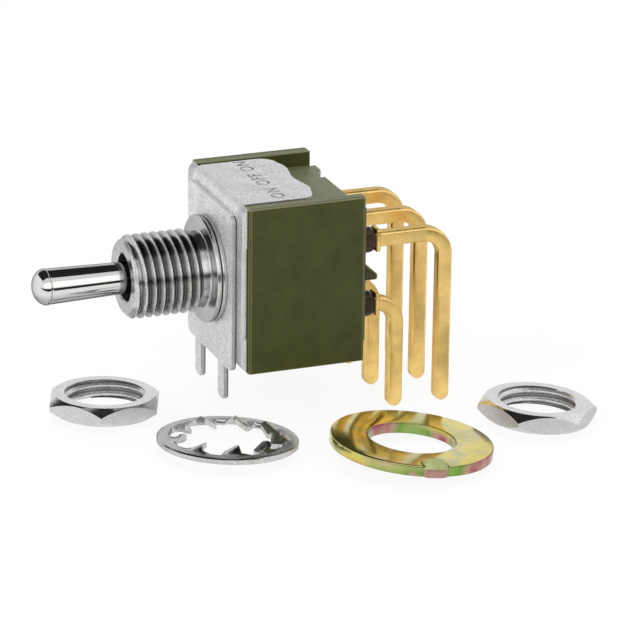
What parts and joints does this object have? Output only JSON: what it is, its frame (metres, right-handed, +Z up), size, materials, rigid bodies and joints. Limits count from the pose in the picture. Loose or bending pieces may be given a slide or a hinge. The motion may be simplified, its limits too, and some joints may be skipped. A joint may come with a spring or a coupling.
{
  "type": "panel toggle switch",
  "caption": "Miniature panel toggle switch with a threaded bushing, a centre-off lever, right-angle board pins and its loose mounting nuts, lock washer and locking ring.",
  "frame": {"origin": "on the bushing's axis, at the front face of its collar, where the panel seats", "axes": "+Y along the bushing from the lever to the rear, +X across the pin columns, +Z up and away from the pin tips"},
  "size_m": [0.0277, 0.0405, 0.0175],
  "materials": {
    "bright_nickel": "turned brass under bright nickel plate",
    "tinned_steel": "stamped sheet with a satin tin plate",
    "olive_moulding": "olive thermoset moulding, fine matt grain",
    "dark_moulding": "dark moulding, smooth",
    "nut_plating": "machined and bright plated",
    "spring_steel": "tumbled spring steel, zinc plated",
    "yellow_passivate": "zinc plate with a yellow iridescent passivate",
    "gold_plate": "stamped strip under bright gold plate",
    "seal_resin": "cast sealing resin, dark and slightly glossy",
    "contact_silver": "silver-clad contact strip"
  },
  "bodies": {
    "housing": {"bushing": "bright_nickel", "pin_bracket": "tinned_steel", "stirrup_frame": "tinned_steel", "switch_case": "olive_moulding", "hex_nut_left": "nut_plating", "hex_nut_right": "nut_plating", "lock_washer": "spring_steel", "locking_ring": "yellow_passivate", "terminal_upper_left": "gold_plate", "terminal_upper_middle": "gold_plate", "terminal_upper_right": "gold_plate", "terminal_lower_left": "gold_plate", "terminal_lower_middle": "gold_plate", "terminal_lower_right": "gold_plate", "terminal_seal_upper_left": "seal_resin", "terminal_seal_upper_middle": "seal_resin", "terminal_seal_upper_right": "seal_resin", "terminal_seal_lower_left": "seal_resin", "terminal_seal_lower_middle": "seal_resin", "terminal_seal_lower_right": "seal_resin"},
    "lever": {"toggle_lever": "bright_nickel", "actuator": "dark_moulding", "plunger_spring_upper": "spring_steel", "plunger_spring_lower": "spring_steel"},
    "plunger_upper": {"contact_plunger_upper": "dark_moulding"},
    "rocker_upper": {"contact_rocker_upper": "contact_silver"},
    "plunger_lower": {"contact_plunger_lower": "dark_moulding"},
    "rocker_lower": {"contact_rocker_lower": "contact_silver"}
  },
  "joints": [
    {"name": "lever_tilt", "type": "hinge", "parent": "housing", "child": "lever", "pos_m": [0, -0.00355, 0], "axis": [0, 0, 1], "range_deg": [-12.5, 12.5]},
    {"name": "plunger_slide_upper", "type": "slide", "parent": "lever", "child": "plunger_upper", "axis": [0, 1, 0], "range_m": [-0.0005, 0], "stiffness_N_per_m": 300, "springref_m": 0.001, "deforming": ["plunger_spring_upper"]},
    {"name": "rocker_tilt_upper", "type": "hinge", "parent": "housing", "child": "rocker_upper", "pos_m": [0, 0.0084, 0.00254], "axis": [0, 0, 1], "range_deg": [-8, 8]},
    {"name": "plunger_slide_lower", "type": "slide", "parent": "lever", "child": "plunger_lower", "axis": [0, 1, 0], "range_m": [-0.0005, 0], "stiffness_N_per_m": 300, "springref_m": 0.001, "deforming": ["plunger_spring_lower"]},
    {"name": "rocker_tilt_lower", "type": "hinge", "parent": "housing", "child": "rocker_lower", "pos_m": [0, 0.0084, -0.00254], "axis": [0, 0, 1], "range_deg": [-8, 8]}
  ],
  "couplings": [
    {"joint": "rocker_tilt_upper", "follows": "lever_tilt", "ratio": -0.64},
    {"joint": "rocker_tilt_lower", "follows": "lever_tilt", "ratio": -0.64}
  ]
}
